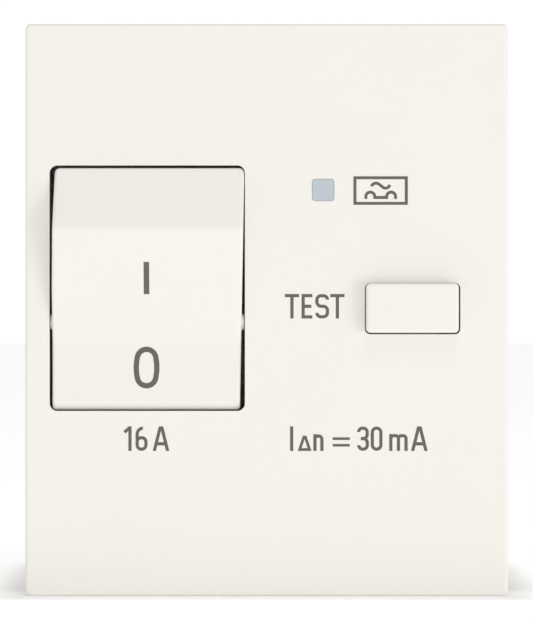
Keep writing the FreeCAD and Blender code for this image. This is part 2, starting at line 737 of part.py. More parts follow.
def make_arm(label, middle):
    """Moving contact: a copper blade with its silver pad."""
    body = piece(label)
    half = "arm_thick/2"
    slab(body, "x", leaning(f"-{half}", half, "socket_floor + fit_slack", "arm_long"),
         both(middle, "arm_wide/2"))
    pad = ("arm_long - pad_wide - pad_edge", "arm_long - pad_edge")
    slab(body, "x", leaning(half, f"{half} + pad_thick", *pad), both(middle, "pad_wide/2"))
    return body


STRIP_Y = f"({CARRIER_Y} - arm_thick/2 - 2*pad_thick - contact_slack - strip_thick)"


def make_fixed_contact(label, middle, end_x):
    """Fixed contact on its strip, which runs over the chute and down into a clamp cage."""
    body = piece(label)
    half = "strip_wide/2"
    x = both(middle, half)
    top = (f"{STRIP_TOP} - strip_thick", STRIP_TOP)
    back = f"{STRIP_Y} + strip_thick"
    block(body, x, (STRIP_Y, back), ("strip_foot", STRIP_TOP))
    pad = f"{CARRIER_Z} + arm_long - pad_wide/2 - pad_edge"
    block(body, both(middle, "pad_wide/2"), (back, f"{back} + pad_thick"), both(pad, "pad_wide/2"))
    block(body, x, (STRIP_Y, "strip_drop + strip_thick"), top)
    ends = sorted((middle, end_x), key=size)
    block(body, (f"{ends[0]} - {half}", f"{ends[1]} + {half}"),
          ("strip_cross", "strip_drop + strip_thick"), top)
    floor = f"{CAGE_FLOOR} + fit_slack"
    block(body, both(end_x, half), ("strip_drop", "strip_drop + strip_thick"), (floor, STRIP_TOP))
    block(body, both(end_x, half), ("strip_drop", "cage_back"), (floor, f"{floor} + strip_thick"))
    return body


def make_outlet_strip(label, end_x):
    """Strip that leads a bar's end into a lower clamp cage."""
    body = piece(label)
    half = "strip_wide/2"
    floor = f"{CAGE_FLOOR} + fit_slack"
    front = "bar_back + fit_slack"
    block(body, both(end_x, half), (front, f"{front} + strip_thick"),
          ("-bar_drop - bar_radius", f"-({floor})"))
    block(body, both(end_x, half), (front, "cage_back"), (f"-({floor} + strip_thick)", f"-({floor})"))
    return body


def make_clamp(name, side, level):
    """Wire clamp: a cage, and the screw and plate that press the wire on its strip."""
    x = f"{side}*clamp_side"
    cage = piece(f"{name}_cage")
    block(cage, both(x, "cage_wide/2"), (CAGE_FRONT, "cage_back"), mirrored(CAGE_LOW, CAGE_HIGH, level))
    block(cage, both(x, "cage_wide/2 - cage_wall"), (f"{CAGE_FRONT} - cut_over", "cage_back + cut_over"),
          mirrored(CAGE_FLOOR, f"{CAGE_HIGH} - cage_wall", level), cut=True)
    spot = (x, SCREW_Y)
    rod(cage, "z", spot, mirrored(f"{CAGE_HIGH} - cage_wall - sink", f"{CAGE_HIGH} + cut_over", level),
        "screw_radius + screw_slack", cut=True)
    plate = piece(f"{name}_clamp_plate")
    block(plate, both(x, "cage_wide/2 - cage_wall - cage_slack"),
          (f"{CAGE_FRONT} + cage_slack", "cage_back"),
          mirrored(PLATE_LOW, f"{PLATE_LOW} + clamp_plate_thick", level))
    screw = piece(f"{name}_clamp_screw")
    rod(screw, "z", spot, mirrored(f"{PLATE_LOW} + clamp_plate_thick", HEAD_LOW, level), "screw_radius")
    head_top = f"{HEAD_LOW} + screw_head_tall"
    rod(screw, "z", spot, mirrored(HEAD_LOW, head_top, level), "screw_head")
    slot = mirrored(f"{head_top} - screw_slot", f"{head_top} + cut_over", level)
    block(screw, both(x, "screw_slot/2"), both(SCREW_Y, "screw_head + cut_over"), slot, cut=True)
    block(screw, both(x, "screw_head - screw_slot"), both(SCREW_Y, "screw_slot/2"), slot, cut=True)
    return cage, [plate, screw]


def group(label, members):
    """Put alike pieces in one node as separate solids."""
    whole = doc.addObject("Part::Compound", label)
    whole.Links = members
    return whole


def coil(label, axis, centre, start, radius, wire_radius, pitch, turns):
    """Wind a round wire along an axis from a start place."""
    spot = list(centre)
    spot.insert("xyz".index(axis), start)
    helix = doc.addObject("Part::Helix", f"{label}_path")
    helix.SegmentLength = HALF_TURN
    bind(helix, "Radius", radius)
    bind(helix, "Pitch", pitch)
    bind(helix, "Height", f"({pitch})*({turns})")
    ring = doc.addObject("Part::Circle", f"{label}_section")
    bind(ring, "Radius", wire_radius)
    ring.Placement = FreeCAD.Placement(V(), ACROSS)
    put(ring, (radius, "0 mm", "0 mm"))
    doc.recompute()
    sweep = doc.addObject("Part::Sweep", label)
    sweep.Sections = [ring]
    sweep.Spine = (helix, [f"Edge{number + 1}" for number in range(len(helix.Shape.Edges))])
    sweep.Solid = True
    sweep.Frenet = True
    sweep.Placement = FreeCAD.Placement(V(), TURNS[axis])
    put(sweep, spot)
    return sweep


def make_chute_frame():
    """Fibre cheeks and back of the arc chute above the line contact."""
    body = piece("arc_chute_frame")
    depth = "chute_plates*(chute_plate_thick + chute_plate_gap) + chute_plate_gap"
    back = f"chute_start + {depth}"
    block(body, both(LINE_X, CHUTE_HALF), ("chute_start", f"{back} + chute_side_thick"),
          ("chute_low", CHUTE_HIGH))
    block(body, both(LINE_X, f"{CHUTE_HALF} - chute_side_thick"), ("chute_start - cut_over", back),
          ("chute_low - cut_over", f"{CHUTE_HIGH} + cut_over"), cut=True)
    return body


def make_chute_plates():
    """Steel plates that split the arc, one behind the other."""
    plates = []
    for index in range(round(size("chute_plates"))):
        plate = piece("chute_plate")
        front = f"chute_start + chute_plate_gap + {index}*(chute_plate_thick + chute_plate_gap)"
        block(plate, both(LINE_X, f"{CHUTE_HALF} - chute_side_thick - fit_slack"),
              (front, f"{front} + chute_plate_thick"),
              ("chute_low + chute_side_thick", f"{CHUTE_HIGH} - chute_side_thick"))
        block(plate, both(LINE_X, "arm_wide/4"), past(front, f"{front} + chute_plate_thick"),
              ("chute_low", "chute_low + arm_wide"), cut=True)
        plates.append(plate)
    return group("arc_chute_plates", plates)


COIL = (COIL_X, "coil_rise")
COIL_END = "(coil_start + coil_long)"
PLUNGER_START = f"({COIL_END} - plunger_slack - plunger_long)"


def make_bobbin():
    body = piece("coil_bobbin")
    rod(body, "y", COIL, ("coil_start", COIL_END), "bobbin_radius")
    rod(body, "y", COIL, ("coil_start", "coil_start + bobbin_wall"), "bobbin_flange")
    rod(body, "y", COIL, (f"{COIL_END} - bobbin_wall", COIL_END), "bobbin_flange")
    rod(body, "y", COIL, past("coil_start", COIL_END), "plunger_radius + plunger_slack", cut=True)
    return body


def make_coil():
    room = "(coil_long - 2*bobbin_wall - 2*coil_wire - 2*plunger_slack)"
    return coil("trip_coil", "y", COIL, "coil_start + bobbin_wall + coil_wire + plunger_slack",
                "bobbin_radius + coil_wire + plunger_slack", "coil_wire",
                f"{room}/coil_turns", "coil_turns")


def make_yoke():
    """Steel frame bent round the coil."""
    body = piece("coil_yoke")
    x = both(COIL_X, "yoke_wide/2")
    top = "(coil_rise + bobbin_flange + fit_slack)"
    block(body, x, ("coil_start - yoke_thick", f"{COIL_END} + yoke_thick"), (top, f"{top} + yoke_thick"))
    low = "coil_rise - bobbin_flange"
    block(body, x, ("coil_start - yoke_thick", "coil_start"), (low, f"{top} + yoke_thick"))
    block(body, x, (COIL_END, f"{COIL_END} + yoke_thick"), (low, f"{top} + yoke_thick"))
    rod(body, "y", COIL, ("coil_start - yoke_thick - cut_over", "coil_start + cut_over"),
        "plunger_pin_radius + plunger_slack", cut=True)
    return body


def make_plunger():
    """Soft iron plunger with the thin pin that strikes the trip lever."""
    body = piece("trip_plunger")
    rod(body, "y", COIL, (PLUNGER_START, f"{PLUNGER_START} + plunger_long"), "plunger_radius")
    tip = "trip_deep + trip_foot_thick/2 + trip_foot_gap"
    rod(body, "y", COIL, (tip, PLUNGER_START), "plunger_pin_radius")
    return body


def make_plunger_spring():
    wire_radius = "plunger_spring_wire"
    start = "coil_start + plunger_spring_wire + plunger_slack"
    room = f"({PLUNGER_START} - coil_start - 2*plunger_spring_wire - 2*plunger_slack)"
    return coil("plunger_spring", "y", COIL, start, "(plunger_pin_radius + plunger_radius)/2",
                wire_radius, f"{room}/plunger_spring_turns", "plunger_spring_turns")


def make_trip_lever():
    """Lever that the plunger turns to free the latch."""
    body = piece("trip_lever")
    x = (MECH_LEFT, MECH_RIGHT)
    y = both("trip_deep", "trip_foot_thick/2")
    foot = both("coil_rise", "trip_foot_tall/2")
    rod(body, "x", ("trip_deep", "trip_rise"), x, "trip_hub")
    block(body, x, y, (foot[0], "trip_rise + trip_tail"))
    block(body, (f"{COIL_X} - plunger_pin_radius/2", MECH_RIGHT), y, foot)
    rod(body, "x", ("trip_deep", "trip_rise"), past(MECH_LEFT, MECH_RIGHT),
        "trip_pin_radius + pin_slack", cut=True)
    return body


BIMETAL_Z = f"({SHELF_TOP} + bracket_thick + 2*fit_slack)"


def make_bimetal():
    body = piece("bimetal_strip")
    block(body, both(COIL_X, "bimetal_wide/2"), ("bimetal_front", "bimetal_back"),
          (BIMETAL_Z, f"{BIMETAL_Z} + bimetal_thick"))
    return body


def make_bracket():
    """Seat of the bimetal strip, with the lug that the line bar is welded to."""
    body = piece("bimetal_bracket")
    z = (f"{SHELF_TOP} + fit_slack", f"{SHELF_TOP} + fit_slack + bracket_thick")
    seat = f"{CAGE_FRONT} - cut_over"
    block(body, (f"{COIL_X} - bimetal_wide/2", LUG_X), (seat, "bimetal_back"), z)
    block(body, (f"{LUG_X} - lug_wide", LUG_X), ("bracket_front", seat), z)
    block(body, (f"{LUG_X} - bracket_thick", LUG_X),
          both("bar_cross", "bar_radius"), (z[0], "sensor_rise - bar_rise_step + bar_radius"))
    return body


BRAID_START = (f"({CARRIER_Y} + (braid_rise - {CARRIER_Z})*tan(carrier_turn)"
               " + arm_thick/2/cos(carrier_turn) + trip_foot_gap)")


def make_line_braid():
    """Flexible lead from the line contact arm to the coil."""
    drop = "coil_rise - bobbin_flange - 2*braid_radius + braid_sink"
    turn = "coil_start - yoke_thick - 2*braid_radius"
    return wire("line_braid", "braid_radius",
                [(LINE_X, BRAID_START, "braid_rise"), (LINE_X, turn, "braid_rise"),
                 (LINE_X, turn, drop), (LINE_X, "coil_start + 2*bobbin_wall", drop)])


def make_neutral_braid():
    """Flexible lead from the neutral contact arm to the neutral bar."""
    rise = "sensor_rise + bar_rise_step"
    turn = "bar_start - 2*braid_radius"
    return wire("neutral_braid", "braid_radius",
                [(NEUTRAL_X, BRAID_START, "braid_rise"), (NEUTRAL_X, turn, "braid_rise"),
                 (NEUTRAL_X, turn, rise), (NEUTRAL_X, "bar_start - fit_slack", rise)])


def make_line_bar():
    """Line conductor through the sensing core and back to its outlet strip."""
    x, rise = "sensor_side - bar_side_step", "sensor_rise - bar_rise_step"
    back = "bar_back - 2*bar_radius"
    return wire("line_bar", "bar_radius",
                [(f"{LUG_X} + fit_slack", "bar_cross", rise), (x, "bar_cross", rise),
                 (x, "bar_front", rise), (x, "bar_front", "-bar_drop"), (x, back, "-bar_drop"),
                 ("-clamp_side", back, "-bar_drop"), ("-clamp_side", "bar_back", "-bar_drop")])


def make_neutral_bar():
    """Neutral conductor through the sensing core to its outlet strip."""
    x, rise = "sensor_side + bar_side_step", "sensor_rise + bar_rise_step"
    return wire("neutral_bar", "bar_radius",
                [(NEUTRAL_X, "bar_start", rise), (NEUTRAL_X, "bar_cross", rise), (x, "bar_cross", rise),
                 (x, "bar_front", rise), (x, "bar_front", "-bar_drop"), (x, "bar_back", "-bar_drop")])


SENSOR = ("sensor_side", "sensor_rise")
SENSOR_BACK = "(sensor_front + sensor_long)"


def make_sensor():
    """Sensing transformer: a ring core and its winding in an open cup."""
    core = piece("sensing_core")
    rod(core, "y", SENSOR, ("sensor_front", SENSOR_BACK), "core_outer")
    rod(core, "y", SENSOR, past("sensor_front", SENSOR_BACK), "core_inner", cut=True)
    winding = piece("sensing_winding")
    face = "sensor_front - fit_slack"
    rod(winding, "y", SENSOR, (f"{face} - winding_cover", face), "core_outer")
    rod(winding, "y", SENSOR, past(f"{face} - winding_cover", face), "core_inner", cut=True)
    cup = piece("sensor_cup")
    lip, floor = f"{face} - winding_cover", f"{SENSOR_BACK} + fit_slack"
    back = f"{floor} + winding_cover"
    rod(cup, "y", SENSOR, (lip, back), "core_outer + winding_cover")
    rod(cup, "y", SENSOR, (f"{lip} - cut_over", floor), "core_outer + fit_slack", cut=True)
    rod(cup, "y", SENSOR, (lip, f"{floor} + fit_slack"), "core_inner - fit_slack")
    rod(cup, "y", SENSOR, past(lip, back), "core_inner - winding_cover", cut=True)
    return [core, winding, cup]


def make_relay():
    """Trip relay and the pin that it lets go."""
    case = piece("relay_case")
    block(case, ("relay_near", "relay_far"), ("relay_front", "relay_back"),
          (f"{SHELF_TOP} + relay_seat_gap", f"-{SHELF_TOP} - relay_head_room"))
    spot = ("relay_pin_side", RELAY_PIN_Z)
    rod(case, "y", spot, ("relay_front - cut_over", "relay_front + relay_bore"),
        "relay_pin_radius + pin_slack", cut=True)
    pin = piece("relay_pin")
    tip = "transfer_deep + transfer_thick/2 + trip_foot_gap"
    rod(pin, "y", spot, (tip, f"{tip} + relay_pin_long"), "relay_pin_radius")
    return [case, pin]


def make_transfer_lever():
    """Lever that carries the relay pin's push through the middle wall."""
    body = piece("transfer_lever")
    z = (TRANSFER_LOW, TRANSFER_HIGH)
    spot = ("transfer_side", "transfer_deep")
    rod(body, "z", spot, z, "transfer_hub")
    block(body, (f"{MECH_LEFT} + trip_foot_gap", "relay_pin_side + relay_pin_radius"),
          both("transfer_deep", "transfer_thick/2"), z)
    rod(body, "z", spot, past(*z), "transfer_pin_radius + pin_slack", cut=True)
    return body


BUTTON = (BUTTON_X, "button_rise")
FLANGE_FRONT = f"({COVER_INNER} + plunger_slack)"
STEM_END = f"({FLANGE_FRONT} + button_flange_thick + stem_long)"


def make_button():
    """Test button: a rounded cap, a flange behind the cover and a stem."""
    body = piece("test_button")
    cap_x = (f"{BUTTON_X} - button_hole_wide/2 + button_gap_left",
             f"{BUTTON_X} + button_hole_wide/2 - button_gap_right")
    cap_z = ("button_rise - button_hole_tall/2 + button_gap_foot",
             "button_rise + button_hole_tall/2 - button_gap_top")
    front = "-cover_deep - button_out"
    block(body, cap_x, (front, FLANGE_FRONT), cap_z)
    soften(body, "button_corner - button_gap_left", lambda spot, edge: along(edge, "y"))
    level = size(front)
    soften(body, "button_edge", lambda spot, edge: near(spot.y, level))
    block(body, (f"{cap_x[0]} - button_flange", f"{cap_x[1]} + button_flange"),
          (FLANGE_FRONT, f"{FLANGE_FRONT} + button_flange_thick"),
          (f"{cap_z[0]} - button_flange", f"{cap_z[1]} + button_flange"))
    rod(body, "y", BUTTON, (FLANGE_FRONT, STEM_END), "button_stem")
    return body


def make_button_spring():
    start = f"{FLANGE_FRONT} + button_flange_thick + button_spring_wire + fit_slack"
    room = f"(-({FLANGE_FRONT}) - button_flange_thick - 2*button_spring_wire - 2*fit_slack)"
    return coil("test_button_spring", "y", BUTTON, start, "button_spring_radius", "button_spring_wire",
                f"{room}/button_spring_turns", "button_spring_turns")


def make_blade():
    """Springy test contact that the stem bends on to the resistor."""
    body = piece("test_blade")
    x = both(BUTTON_X, "blade_wide/2")
    front = f"{STEM_END} + blade_gap"
    block(body, x, (front, f"{front} + blade_thick"), ("-blade_drop", "blade_rise"))
    block(body, x, (front, "board_deep"), ("blade_rise - blade_thick", "blade_rise"))
    return body


def make_resistor():
    """Test resistor hung on its two leads below the circuit board."""
    body = piece("test_resistor")
    deep = f"({STEM_END} + blade_gap + blade_thick + button_stroke - blade_gap + resistor_radius)"
    ends = both(BUTTON_X, "resistor_long/2")
    rod(body, "x", (deep, "resistor_rise"), ends, "resistor_radius")
    for end, side in zip(ends, (-1, 1)):
        x = f"{end} + {side}*2*lead_radius"
        rod(body, "x", (deep, "resistor_rise"), sorted((end, x), key=size), "lead_radius")
        rod(body, "z", (x, deep), ("resistor_rise - lead_radius", "board_low + 2*resistor_radius"),
            "lead_radius")
    return body


def make_board():
    body = piece("circuit_board")
    block(body, ("board_near", BOARD_FAR), ("board_deep", "board_deep + board_thick"),
          ("board_low", "board_high"))
    return body


def make_board_parts():
    """Row of packaged parts soldered on the back of the board."""
    chips = []
    for index in range(round(size("chip_count"))):
        chip = piece("chip")
        x = f"chip_side + {index}*chip_pitch"
        back = "board_deep + board_thick"
        block(chip, (x, f"{x} + chip_wide"), (back, f"{back} + chip_thick"),
              both("lens_rise", "chip_tall/2"))
        chips.append(chip)
    return group("board_parts", chips)


def make_lamp():
    body = piece("indicator_lamp")
    block(body, both("lens_side", "lamp_wide/2"), ("board_deep - lamp_deep", "board_deep"),
          both("lens_rise", "lamp_wide/2"))
    return body


def make_lens():
    """Clear light guide from the lamp to the plate's small square window."""
    body = piece("indicator_lens")
    half = "lens_size/2 - lens_slack"
    x, z = both("lens_side", half), both("lens_rise", half)
    block(body, x, (FACE, "board_deep - lamp_deep - cage_slack"), z)
    soften(body, "lens_corner - lens_slack", lambda spot, edge: along(edge, "y"))
    foot = f"{COVER_INNER} + fit_slack"
    block(body, (f"{x[0]} - lens_foot", f"{x[1]} + lens_foot"), (foot, f"{foot} + lens_foot"),
          (f"{z[0]} - lens_foot", f"{z[1]} + lens_foot"))
    return body


parts = [make_cover(), make_left_shell(), make_right_shell(), make_middle_wall(), make_rivets()]
parts += [make_rocker(), make_link(), make_carrier()]
parts.append(make_pin("lever_pin", PIVOT, ("-face_wide/2 + lever_pin_cap + fit_slack",
                                           f"{WIN_RIGHT} + lever_ear_thick"), "lever_pin_radius"))
through = (f"fit_slack - {CASE_IN_X} - pin_seat", MID)
parts.append(make_pin("carrier_pin", (CARRIER_Y, CARRIER_Z), through, "carrier_pin_radius"))
parts.append(make_pin("trip_lever_pin", ("trip_deep", "trip_rise"), through, "trip_pin_radius"))
ears = (f"{TRANSFER_LOW} - transfer_gap - transfer_ear",
        f"{TRANSFER_HIGH} + transfer_gap + transfer_ear")
parts.append(make_pin("transfer_pin", ("transfer_side", "transfer_deep"), ears, "transfer_pin_radius",
                      axis="z"))
parts.append(coil("opening_spring", "x", (CARRIER_Y, CARRIER_Z), f"{MECH_RIGHT} + 3*opening_spring_wire/2",
                  "carrier_hub + opening_spring_wire + plunger_slack", "opening_spring_wire",
                  "opening_spring_pitch", "opening_spring_turns"))
parts.append(make_arm("line_contact_arm", LINE_X))
parts.append(make_arm("neutral_contact_arm", NEUTRAL_X))
parts.append(make_fixed_contact("line_fixed_contact", LINE_X, "-clamp_side"))
parts.append(make_fixed_contact("neutral_fixed_contact", NEUTRAL_X, "clamp_side"))
parts += [make_chute_frame(), make_chute_plates(), make_bobbin(), make_coil(), make_yoke()]
parts += [make_plunger(), make_plunger_spring(), make_trip_lever(), make_bimetal(), make_bracket()]
parts += [make_line_braid(), make_neutral_braid(), make_line_bar(), make_neutral_bar()]
parts.append(make_outlet_strip("line_outlet_strip", "-clamp_side"))
parts.append(make_outlet_strip("neutral_outlet_strip", "clamp_side"))
parts += make_sensor() + make_relay() + [make_transfer_lever()]
parts += [make_button(), make_button_spring(), make_blade(), make_resistor()]
parts.append(make_board())
parts.append(make_board_parts())
surge = ("board_deep - surge_thick", "board_deep")
surge_spot = (f"{BOARD_FAR} - surge_radius - surge_gap", "surge_rise")
parts.append(make_pin("surge_disc", surge_spot, surge, "surge_radius", axis="y"))
parts += [make_lamp(), make_lens()]
cages = []
for name, side, level in (("upper_left", -1, 1), ("upper_right", 1, 1), ("lower_left", -1, -1),
                          ("lower_right", 1, -1)):
    cage, movers = make_clamp(name, side, level)
    cages.append(cage)
    parts += movers
parts.append(group("clamp_cages", cages))

doc.recompute()
failed = [thing.Label for thing in doc.Objects if {"Invalid", "Error"} & set(thing.State)]
if failed:
    raise RuntimeError(f"failed: {failed}")
for part in parts:
    if part.Shape.isNull() or not part.Shape.isValid():
        raise RuntimeError(f"{part.Label} has no valid shape")
os.makedirs("parts", exist_ok=True)
for part in parts:
    part.Shape.exportStep(f"parts/{part.Label}.step")
    print(part.Label, len(part.Shape.Solids), round(part.Shape.Volume, 2))
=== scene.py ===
import math

import bmesh
import bpy
from mathutils import Matrix, Vector
from mathutils.bvhtree import BVHTree


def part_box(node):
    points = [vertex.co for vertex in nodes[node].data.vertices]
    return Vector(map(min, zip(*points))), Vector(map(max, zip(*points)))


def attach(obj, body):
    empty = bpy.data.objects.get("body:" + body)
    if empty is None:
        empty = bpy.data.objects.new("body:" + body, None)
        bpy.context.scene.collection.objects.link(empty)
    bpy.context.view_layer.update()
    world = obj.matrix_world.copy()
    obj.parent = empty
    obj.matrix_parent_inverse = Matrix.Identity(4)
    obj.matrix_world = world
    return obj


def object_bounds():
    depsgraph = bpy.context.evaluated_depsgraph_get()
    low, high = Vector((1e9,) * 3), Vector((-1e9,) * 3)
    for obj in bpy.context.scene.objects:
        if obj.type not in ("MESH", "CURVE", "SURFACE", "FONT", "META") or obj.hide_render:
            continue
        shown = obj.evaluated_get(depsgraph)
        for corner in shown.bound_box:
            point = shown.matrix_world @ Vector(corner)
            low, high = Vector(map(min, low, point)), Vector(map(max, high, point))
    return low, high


# a residual current breaker with its rocker and test button, standing on its front plate's lower edge
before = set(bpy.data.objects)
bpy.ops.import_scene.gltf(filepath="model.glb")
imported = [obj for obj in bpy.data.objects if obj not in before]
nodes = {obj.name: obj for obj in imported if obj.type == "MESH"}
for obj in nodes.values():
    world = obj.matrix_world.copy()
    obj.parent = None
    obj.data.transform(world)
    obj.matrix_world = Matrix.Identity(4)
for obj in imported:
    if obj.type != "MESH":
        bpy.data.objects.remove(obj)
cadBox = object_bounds()
mm = 0.001
print("frame loaded:", len(nodes), "nodes")


# small helpers for node trees
def feed(tree, socket, value):
    if isinstance(value, bpy.types.NodeSocket):
        tree.links.new(value, socket)
    else:
        socket.default_value = value


def add(tree, kind, settings=None, **inputs):
    node = tree.nodes.new("ShaderNode" + kind)
    for name, value in (settings or {}).items():
        setattr(node, name, value)
    for name, value in inputs.items():
        feed(tree, node.inputs[name.replace("_", " ")], value)  # an underscore stands for a blank
    return node


def reckon(tree, operation, first, second=0.0):
    node = add(tree, "Math", {"operation": operation})
    feed(tree, node.inputs[0], first)
    feed(tree, node.inputs[1], second)
    return node.outputs[0]


def between(tree, factor, low, high):
    node = add(tree, "MapRange")
    for label, value in (("Value", factor), ("To Min", low), ("To Max", high)):
        feed(tree, node.inputs[label], value)
    return node.outputs[0]


def tint(tree, factor, first, second):
    node = add(tree, "Mix", {"data_type": "RGBA"})
    for index, value in ((0, factor), (6, first), (7, second)):
        feed(tree, node.inputs[index], value)
    return node.outputs[2]


def startGroup(name, inputs, outputs):
    group = bpy.data.node_groups.new(name, "ShaderNodeTree")
    for label, value in inputs.items():
        kind = "NodeSocketVector" if isinstance(value, tuple) else "NodeSocketFloat"
        group.interface.new_socket(label, in_out="INPUT", socket_type=kind).default_value = value
    for label in outputs:
        group.interface.new_socket(label, in_out="OUTPUT", socket_type="NodeSocketFloat")
    given, result = group.nodes.new("NodeGroupInput"), group.nodes.new("NodeGroupOutput")
    return group, given.outputs, result.inputs


def makeMouldGrain():
    inputs = {"Grain mm": 0.15, "Cloud mm": 8.0}
    group, given, result = startGroup("mouldGrain", inputs, ["Height", "Cloud"])
    place = add(group, "TexCoord").outputs["Object"]
    fineScale = reckon(group, "DIVIDE", 1 / mm, given["Grain mm"])
    grain = add(group, "TexNoise", Vector=place, Scale=fineScale, Detail=2.0, Roughness=0.6)
    pits = add(group, "TexVoronoi", {"feature": "SMOOTH_F1"}, Vector=place, Scale=fineScale,
               Smoothness=0.6)
    feed(group, result["Height"], reckon(group, "ADD", grain.outputs["Fac"], pits.outputs["Distance"]))
    cloudScale = reckon(group, "DIVIDE", 1 / mm, given["Cloud mm"])
    cloud = add(group, "TexNoise", Vector=place, Scale=cloudScale, Detail=3.0, Roughness=0.5)
    feed(group, result["Cloud"], cloud.outputs["Fac"])
    return group


def makeRolledLines():
    inputs = {"Line mm": 0.05, "Stretch": (1.0, 1.0, 0.04)}
    group, given, result = startGroup("rolledLines", inputs, ["Height", "Streak"])
    place = add(group, "TexCoord").outputs["Object"]
    drawn = add(group, "VectorMath", {"operation": "MULTIPLY"})
    feed(group, drawn.inputs[0], place)
    feed(group, drawn.inputs[1], given["Stretch"])
    lineScale = reckon(group, "DIVIDE", 1 / mm, given["Line mm"])
    lines = add(group, "TexNoise", Vector=drawn.outputs[0], Scale=lineScale, Detail=3.0, Roughness=0.65)
    feed(group, result["Height"], lines.outputs["Fac"])
    broadScale = reckon(group, "DIVIDE", lineScale, 9.0)
    broad = add(group, "TexNoise", Vector=drawn.outputs[0], Scale=broadScale, Detail=2.0)
    feed(group, result["Streak"], broad.outputs["Fac"])
    return group


def makeWoundWire():
    inputs = {"Centre": (0.0, 0.0, 0.0), "Turns": 60.0}
    group, given, result = startGroup("woundWire", inputs, ["Height", "PaintedGrooveShade"])
    place = add(group, "TexCoord").outputs["Object"]
    centred = add(group, "VectorMath", {"operation": "SUBTRACT"})
    feed(group, centred.inputs[0], place)
    feed(group, centred.inputs[1], given["Centre"])
    parts = add(group, "SeparateXYZ", Vector=centred.outputs[0])
    around = reckon(group, "ARCTAN2", parts.outputs["Z"], parts.outputs["X"])
    swing = reckon(group, "SINE", reckon(group, "MULTIPLY", around, given["Turns"]))
    crown = reckon(group, "ABSOLUTE", swing)
    feed(group, result["Height"], crown)
    # the groove mask darkens the colour between turns: painted shade
    feed(group, result["PaintedGrooveShade"], reckon(group, "POWER", crown, 0.5))
    return group


mouldGrain, rolledLines, woundWire = makeMouldGrain(), makeRolledLines(), makeWoundWire()
print("shared finishes made")


def linear(red, green, blue):  # a screen colour from 0 to 255 as the light it stands for
    shares = [c / 255 for c in (red, green, blue)]
    return tuple(c / 12.92 if c < 0.04 else ((c + 0.055) / 1.055) ** 2.4 for c in shares) + (1.0,)


def startMaterial(name):
    material = bpy.data.materials.new(name)
    material.use_nodes = True
    tree = material.node_tree
    return material, tree, tree.nodes["Principled BSDF"]


def colourPair(colour, spread):  # the same colour a little dimmer and a little brighter
    lit = linear(*colour)[:3]
    return [tuple(min(1.0, c * share) for c in lit) + (1.0,) for share in (1 - spread, 1 + spread)]


def setRoughness(tree, shader, factor, rough, swing):  # around its middle value by the swing
    feed(tree, shader.inputs["Roughness"], between(tree, factor, rough - swing, rough + swing))


def setBump(tree, shader, height, strength, depth):  # depth in millimetres
    bump = add(tree, "Bump", Strength=strength, Distance=depth * mm, Height=height)
    feed(tree, shader.inputs["Normal"], bump.outputs["Normal"])


plasticSurface = {"swing": 0.05, "depth": 0.01, "coatRoughness": 0.2}


def mouldedPlastic(name, look):
    material, tree, shader = startMaterial(name)
    grain = add(tree, "Group", {"node_tree": mouldGrain}, Grain_mm=look["grain"], Cloud_mm=look["cloud"])
    dim, bright = colourPair(look["colour"], look["spread"])
    feed(tree, shader.inputs["Base Color"], tint(tree, grain.outputs["Cloud"], dim, bright))
    setRoughness(tree, shader, grain.outputs["Cloud"], look["roughness"], plasticSurface["swing"])
    setBump(tree, shader, grain.outputs["Height"], look["bump"], plasticSurface["depth"])
    shader.inputs["Coat Weight"].default_value = look.get("coat", 0.0)
    shader.inputs["Coat Roughness"].default_value = plasticSurface["coatRoughness"]
    return material


metalSurface = {"swing": 0.08, "depth": 0.01}


def workedMetal(name, look):
    material, tree, shader = startMaterial(name)
    lines = add(tree, "Group", {"node_tree": rolledLines}, Line_mm=look["line"], Stretch=look["stretch"])
    dim, bright = colourPair(look["colour"], look["spread"])
    feed(tree, shader.inputs["Base Color"], tint(tree, lines.outputs["Streak"], dim, bright))
    setRoughness(tree, shader, lines.outputs["Height"], look["roughness"], metalSurface["swing"])
    setBump(tree, shader, lines.outputs["Height"], look["bump"], metalSurface["depth"])
    shader.inputs["Metallic"].default_value = 1.0
    return material


# moulded pieces: colour is the pigment, grain and cloud are sizes in millimetres
plasticLooks = {
    "white_cover": {"colour": (241, 238, 232), "roughness": 0.42,
                    "grain": 0.12, "cloud": 9, "spread": 0.008, "bump": 0.25},
    "white_rocker": {"colour": (240, 237, 231), "roughness": 0.38,
                     "grain": 0.12, "cloud": 9, "spread": 0.008, "bump": 0.2},
    "white_button": {"colour": (241, 238, 232), "roughness": 0.38,
                     "grain": 0.12, "cloud": 6, "spread": 0.008, "bump": 0.2},
    "case_grey": {"colour": (226, 224, 218), "roughness": 0.55,
                  "grain": 0.2, "cloud": 12, "spread": 0.015, "bump": 0.5},
    "barrier_grey": {"colour": (168, 170, 170), "roughness": 0.6,
                     "grain": 0.2, "cloud": 10, "spread": 0.02, "bump": 0.5},
    "dark_plastic": {"colour": (52, 52, 54), "roughness": 0.5,
                     "grain": 0.15, "cloud": 6, "spread": 0.06, "bump": 0.4},
    "fibre": {"colour": (150, 66, 52), "roughness": 0.75,
              "grain": 0.3, "cloud": 3, "spread": 0.08, "bump": 0.6},
    "ferrite": {"colour": (58, 57, 60), "roughness": 0.7,
                "grain": 0.25, "cloud": 4, "spread": 0.08, "bump": 0.6},
    "chip_black": {"colour": (34, 35, 38), "roughness": 0.55,
                   "grain": 0.08, "cloud": 3, "spread": 0.08, "bump": 0.3},
    "disc_blue": {"colour": (42, 86, 150), "roughness": 0.3,
                  "grain": 0.5, "cloud": 4, "spread": 0.08, "bump": 0.35, "coat": 0.4},
    "resistor_tan": {"colour": (196, 166, 122), "roughness": 0.4,
                     "grain": 0.2, "cloud": 3, "spread": 0.05, "bump": 0.3, "coat": 0.3},
}

